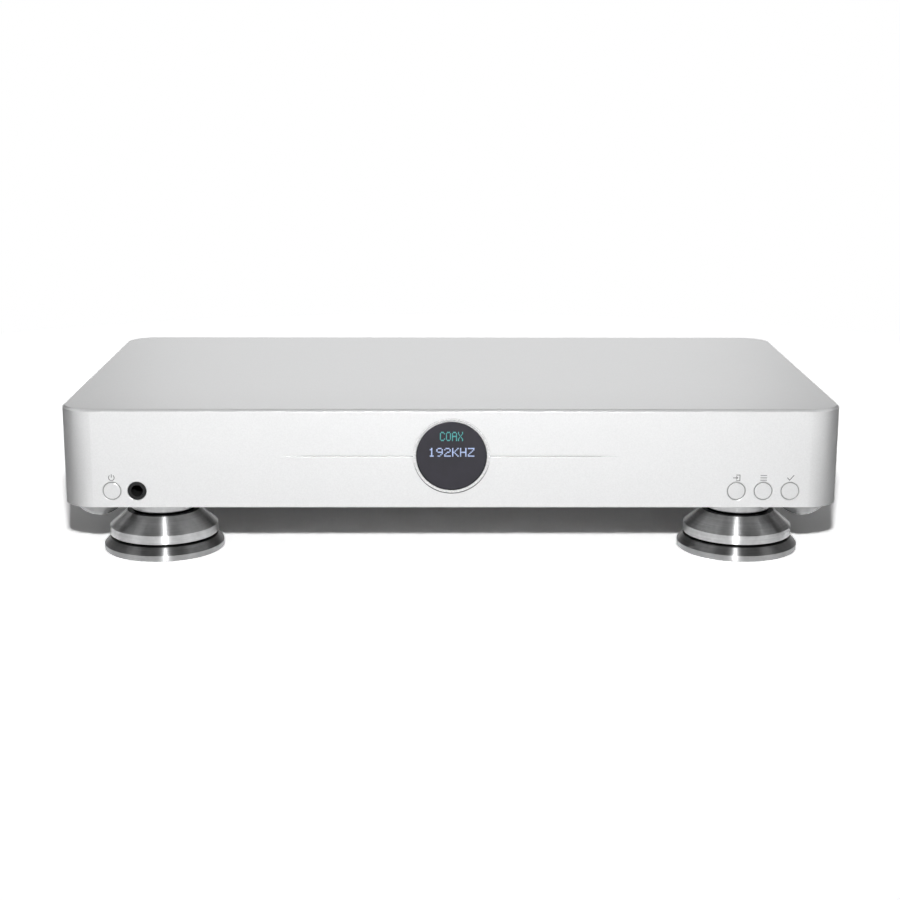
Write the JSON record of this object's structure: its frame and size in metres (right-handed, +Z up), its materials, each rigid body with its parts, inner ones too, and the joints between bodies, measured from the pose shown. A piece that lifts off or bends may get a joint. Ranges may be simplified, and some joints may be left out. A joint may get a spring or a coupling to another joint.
{
  "type": "desktop dac",
  "caption": "Low silver desktop DAC with a round display, flush round keys, a headphone socket and turned steel isolation feet.",
  "frame": {"origin": "on the floor under the middle of the case", "axes": "+X to the right seen from the front, +Y from front to rear, +Z up"},
  "size_m": [0.43, 0.24, 0.087],
  "materials": {
    "case_aluminium": "bead-blasted and clear anodised, satin",
    "plate_aluminium": "brushed and clear anodised",
    "panel_aluminium": "fine brushed and clear anodised",
    "dome_aluminium": "turned, satin",
    "key_aluminium": "bead-blasted and clear anodised, satin",
    "bezel_metal": "diamond turned, bright",
    "turned_steel": "fine turned stainless steel",
    "damper_rubber": "matte black elastomer",
    "black_screw": "black zinc",
    "zinc_steel": "bright zinc",
    "display_glass": "dark polished glass",
    "display_screen": "unlit panel, smooth",
    "circuit_board": "green solder mask",
    "black_plastic": "moulded, fine grain",
    "rocker_plastic": "moulded, smooth",
    "chip_plastic": "moulded epoxy",
    "black_heatsink": "black anodised",
    "capacitor_sleeve": "shrunk plastic sleeve",
    "taped_coil": "yellow insulating tape over copper and steel",
    "pillar_brass": "turned brass",
    "ribbon_plastic": "grey flat cable",
    "nickel_pin": "nickel plated",
    "socket_steel": "tin plated sheet steel",
    "gold_contact": "gold plated"
  },
  "bodies": {
    "chassis": {"case_shell": "case_aluminium", "bottom_plate": "plate_aluminium", "bottom_screws": "black_screw", "rear_panel": "panel_aluminium", "rear_screws": "black_screw", "corner_feet": "dome_aluminium", "corner_foot_screws": "black_screw", "isolator_bases": "turned_steel", "isolator_dampers": "damper_rubber", "isolator_cones": "turned_steel", "isolator_collars": "damper_rubber", "isolator_caps": "turned_steel", "isolator_studs": "zinc_steel", "display_bezel": "bezel_metal", "display_window": "display_glass", "display_panel": "display_screen", "display_board": "circuit_board", "display_bracket": "zinc_steel", "key_switches": "black_plastic", "left_key_board": "circuit_board", "right_key_board": "circuit_board", "front_board_screws": "zinc_steel", "headphone_jack": "black_plastic", "headphone_board": "circuit_board", "main_board": "circuit_board", "main_board_chips": "chip_plastic", "processor_heatsink": "black_heatsink", "audio_capacitors": "capacitor_sleeve", "power_board": "circuit_board", "reservoir_capacitors": "capacitor_sleeve", "regulator_heatsink": "black_heatsink", "voltage_regulators": "chip_plastic", "mains_transformer": "taped_coil", "transformer_pads": "damper_rubber", "transformer_clamp": "zinc_steel", "transformer_bolt": "zinc_steel", "board_pillars": "pillar_brass", "board_screws": "zinc_steel", "ribbon_cables": "ribbon_plastic", "mains_inlet": "black_plastic", "inlet_pins": "nickel_pin", "rocker_housing": "black_plastic", "fuse_holder": "black_plastic", "usb_socket": "socket_steel", "network_socket": "socket_steel", "optical_socket": "black_plastic", "phono_shells": "gold_contact", "phono_bodies": "black_plastic", "balanced_sockets": "black_plastic", "balanced_pins": "gold_contact"},
    "power_key": {"power_key": "key_aluminium", "power_plunger": "black_plastic"},
    "source_key": {"source_key": "key_aluminium", "source_plunger": "black_plastic"},
    "menu_key": {"menu_key": "key_aluminium", "menu_plunger": "black_plastic"},
    "select_key": {"select_key": "key_aluminium", "select_plunger": "black_plastic"},
    "mains_rocker": {"power_rocker": "rocker_plastic"}
  },
  "joints": [
    {"name": "power_press", "type": "slide", "parent": "chassis", "child": "power_key", "axis": [0, 1, 0], "range_m": [0, 0.0005], "stiffness_N_per_m": 3000},
    {"name": "source_press", "type": "slide", "parent": "chassis", "child": "source_key", "axis": [0, 1, 0], "range_m": [0, 0.0005], "stiffness_N_per_m": 3000},
    {"name": "menu_press", "type": "slide", "parent": "chassis", "child": "menu_key", "axis": [0, 1, 0], "range_m": [0, 0.0005], "stiffness_N_per_m": 3000},
    {"name": "select_press", "type": "slide", "parent": "chassis", "child": "select_key", "axis": [0, 1, 0], "range_m": [0, 0.0005], "stiffness_N_per_m": 3000},
    {"name": "mains_rocker_tilt", "type": "hinge", "parent": "chassis", "child": "mains_rocker", "pos_m": [0.13, 0.111, 0.0595], "axis": [-1, 0, 0], "range_deg": [0, 20]}
  ]
}
